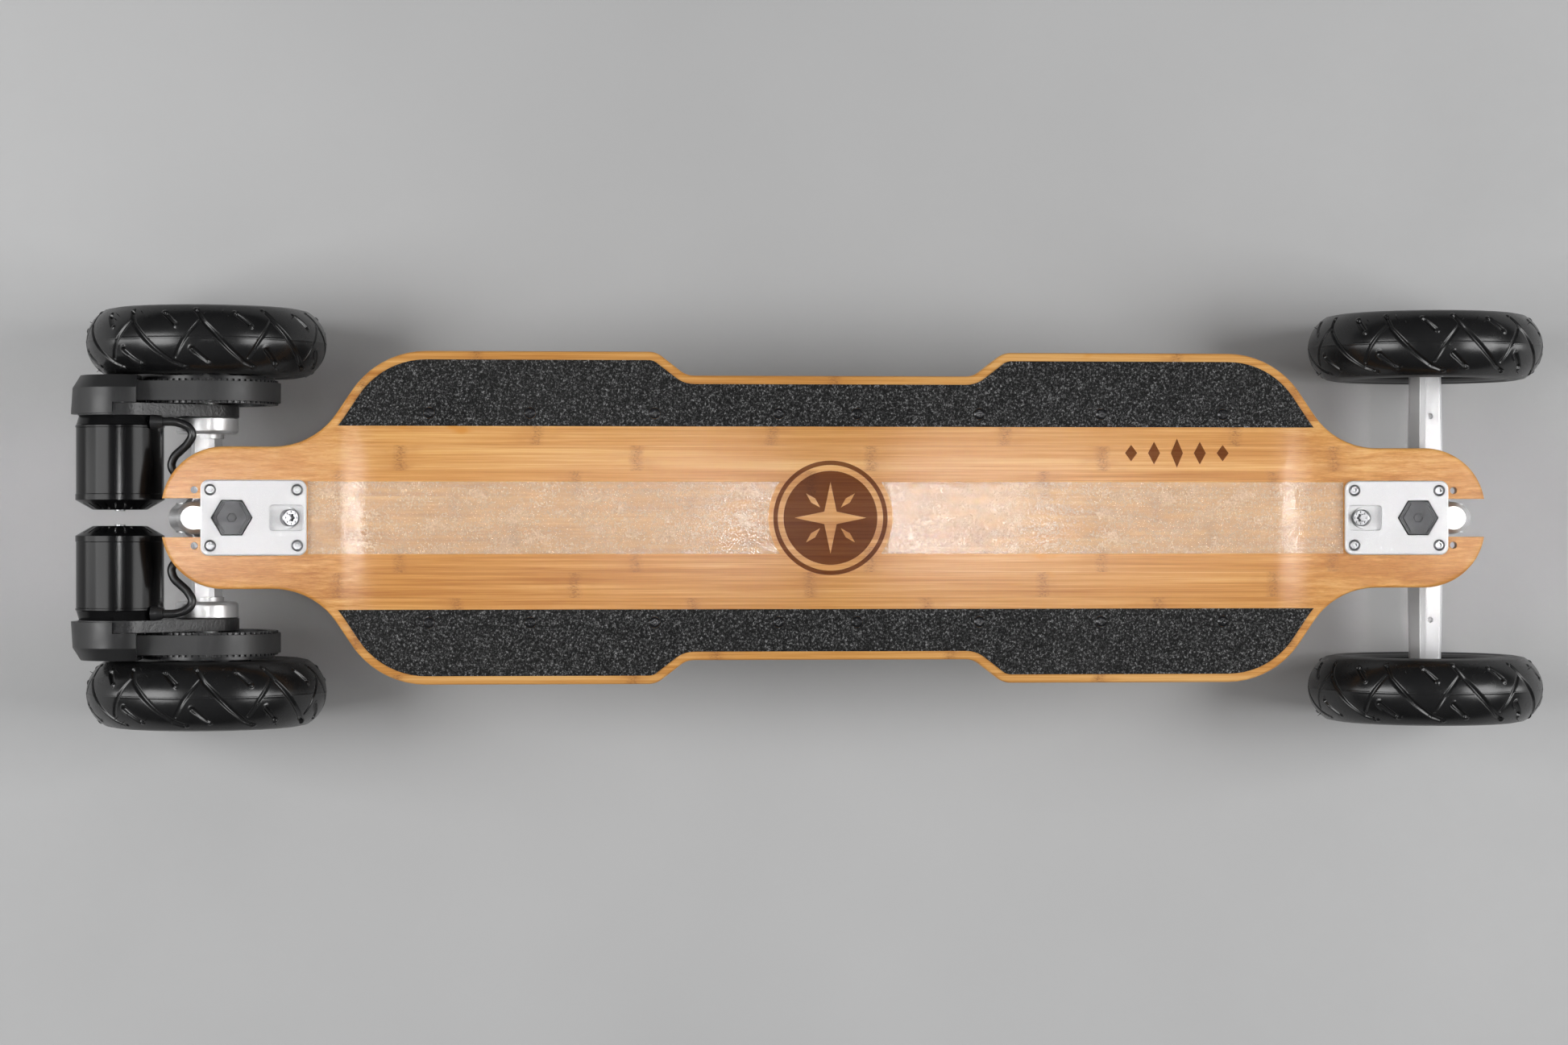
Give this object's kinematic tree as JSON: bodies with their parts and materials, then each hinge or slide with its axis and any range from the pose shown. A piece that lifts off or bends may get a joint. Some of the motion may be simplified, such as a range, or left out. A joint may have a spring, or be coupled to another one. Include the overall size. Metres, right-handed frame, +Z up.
{
  "type": "electric skateboard",
  "caption": "All-terrain electric skateboard: slotted bamboo deck, double-kingpin trucks, pneumatic tyres and belt drive to the rear wheels.",
  "frame": {"origin": "on the ground, under the middle of the overall length and width, with the board standing on its four tyres", "axes": "+X is the way the board rides, towards the unpowered truck; +Y is the board's left; +Z is up"},
  "size_m": [1.1264, 0.3156, 0.18],
  "materials": {
    "bamboo": "satin lacquer",
    "grit": "coarse black grit",
    "clear_grit": "clear sparkling grit",
    "black_steel": "black oxide",
    "shell_black": "fine moulded grain",
    "seal_rubber": "soft matt",
    "cell_wrap": "heat-shrink sleeve",
    "nickel": "nickel strip",
    "silver_alloy": "fine blasted",
    "board_green": "solder mask",
    "cable_black": "smooth jacket",
    "badge_metal": "dark anodised",
    "steel": "bright zinc",
    "urethane": "cast urethane",
    "forged_alloy": "forged and brushed",
    "black_alloy": "fine powder coat",
    "belt_rubber": "fabric-faced neoprene",
    "motor_black": "gloss black anodised",
    "stator": "laminated steel with copper winding",
    "tyre_rubber": "black moulded rubber",
    "hub_black": "satin black",
    "bearing_steel": "ground",
    "pulley_black": "moulded nylon"
  },
  "bodies": {
    "board": {"deck": "bamboo", "grip_tape": "grit", "clear_grip": "clear_grit", "enclosure_bolts": "black_steel", "battery_enclosure": "shell_black", "controller_enclosure": "shell_black", "enclosure_gaskets": "seal_rubber", "battery_cells": "cell_wrap", "cell_busbars": "nickel", "controller_case": "silver_alloy", "circuit_boards": "board_green", "link_duct": "seal_rubber", "panel_fittings": "shell_black", "power_cables": "cable_black", "truck_bases": "silver_alloy", "truck_badges": "badge_metal", "truck_fasteners": "steel", "base_kingpins": "steel", "base_bushings": "urethane"},
    "power_button": {"power_button": "steel"},
    "charge_cap": {"charge_cap": "seal_rubber"},
    "front_carrier": {"front_carrier": "forged_alloy", "front_hanger_kingpin": "steel", "front_hanger_bushings": "urethane"},
    "front_hanger": {"front_hanger": "forged_alloy", "front_axles": "steel"},
    "rear_carrier": {"rear_carrier": "forged_alloy", "rear_hanger_kingpin": "steel", "rear_hanger_bushings": "urethane"},
    "rear_hanger": {"rear_hanger": "forged_alloy", "rear_axles": "steel", "motor_mounts": "black_alloy", "mount_screws": "black_steel", "belt_covers": "shell_black", "drive_belts": "belt_rubber", "motor_bases": "motor_black", "motor_stators": "stator", "motor_cables": "cable_black"},
    "wheel_front_left": {"tyre_front_left": "tyre_rubber", "hub_front_left": "hub_black", "bearings_front_left": "bearing_steel", "wheel_bolts_front_left": "steel"},
    "wheel_front_right": {"tyre_front_right": "tyre_rubber", "hub_front_right": "hub_black", "bearings_front_right": "bearing_steel", "wheel_bolts_front_right": "steel"},
    "wheel_rear_left": {"tyre_rear_left": "tyre_rubber", "hub_rear_left": "hub_black", "bearings_rear_left": "bearing_steel", "wheel_bolts_rear_left": "steel", "wheel_pulley_left": "pulley_black"},
    "wheel_rear_right": {"tyre_rear_right": "tyre_rubber", "hub_rear_right": "hub_black", "bearings_rear_right": "bearing_steel", "wheel_bolts_rear_right": "steel", "wheel_pulley_right": "pulley_black"},
    "motor_left": {"motor_can_left": "motor_black", "motor_shaft_left": "steel"},
    "motor_right": {"motor_can_right": "motor_black", "motor_shaft_right": "steel"}
  },
  "joints": [
    {"name": "front_base_pivot", "type": "hinge", "parent": "board", "child": "front_carrier", "pos_m": [0.42198, 0, 0.13071], "axis": [0.891, 0, 0.454], "range_deg": [-9, 9], "stiffness_Nm_per_rad": 90, "deforming": ["base_bushings"]},
    {"name": "front_hanger_pivot", "type": "hinge", "parent": "front_carrier", "child": "front_hanger", "pos_m": [0.47643, 0, 0.09644], "axis": [0.891, 0, 0.454], "range_deg": [-9, 9], "stiffness_Nm_per_rad": 90, "deforming": ["front_hanger_bushings"]},
    {"name": "rear_base_pivot", "type": "hinge", "parent": "board", "child": "rear_carrier", "pos_m": [-0.41559, 0, 0.13071], "axis": [-0.891, 0, 0.454], "range_deg": [-9, 9], "stiffness_Nm_per_rad": 90, "deforming": ["base_bushings", "motor_cables"]},
    {"name": "rear_hanger_pivot", "type": "hinge", "parent": "rear_carrier", "child": "rear_hanger", "pos_m": [-0.47005, 0, 0.09644], "axis": [-0.891, 0, 0.454], "range_deg": [-9, 9], "stiffness_Nm_per_rad": 90, "deforming": ["rear_hanger_bushings", "motor_cables"]},
    {"name": "wheel_spin_front_left", "type": "hinge", "parent": "front_hanger", "child": "wheel_front_left", "pos_m": [0.47319, 0.1324, 0.09], "axis": [0, 1, 0], "continuous": true},
    {"name": "wheel_spin_front_right", "type": "hinge", "parent": "front_hanger", "child": "wheel_front_right", "pos_m": [0.47319, -0.1324, 0.09], "axis": [0, 1, 0], "continuous": true},
    {"name": "wheel_spin_rear_left", "type": "hinge", "parent": "rear_hanger", "child": "wheel_rear_left", "pos_m": [-0.46681, 0.1324, 0.09], "axis": [0, 1, 0], "continuous": true},
    {"name": "wheel_spin_rear_right", "type": "hinge", "parent": "rear_hanger", "child": "wheel_rear_right", "pos_m": [-0.46681, -0.1324, 0.09], "axis": [0, 1, 0], "continuous": true},
    {"name": "motor_spin_left", "type": "hinge", "parent": "rear_hanger", "child": "motor_left", "pos_m": [-0.52719, 0.045, 0.12921], "axis": [0, 1, 0], "continuous": true},
    {"name": "motor_spin_right", "type": "hinge", "parent": "rear_hanger", "child": "motor_right", "pos_m": [-0.52719, -0.045, 0.12921], "axis": [0, 1, 0], "continuous": true},
    {"name": "power_button_press", "type": "slide", "parent": "board", "child": "power_button", "axis": [0, 0, 1], "range_m": [0, 0.0015], "stiffness_N_per_m": 600, "springref_m": -0.001},
    {"name": "charge_cap_hinge", "type": "hinge", "parent": "board", "child": "charge_cap", "pos_m": [-0.25831, 0, 0.0939], "axis": [0, 1, 0], "range_deg": [0, 110]}
  ],
  "couplings": [
    {"joint": "motor_spin_left", "follows": "wheel_spin_rear_left", "ratio": 4.25},
    {"joint": "motor_spin_right", "follows": "wheel_spin_rear_right", "ratio": 4.25}
  ]
}
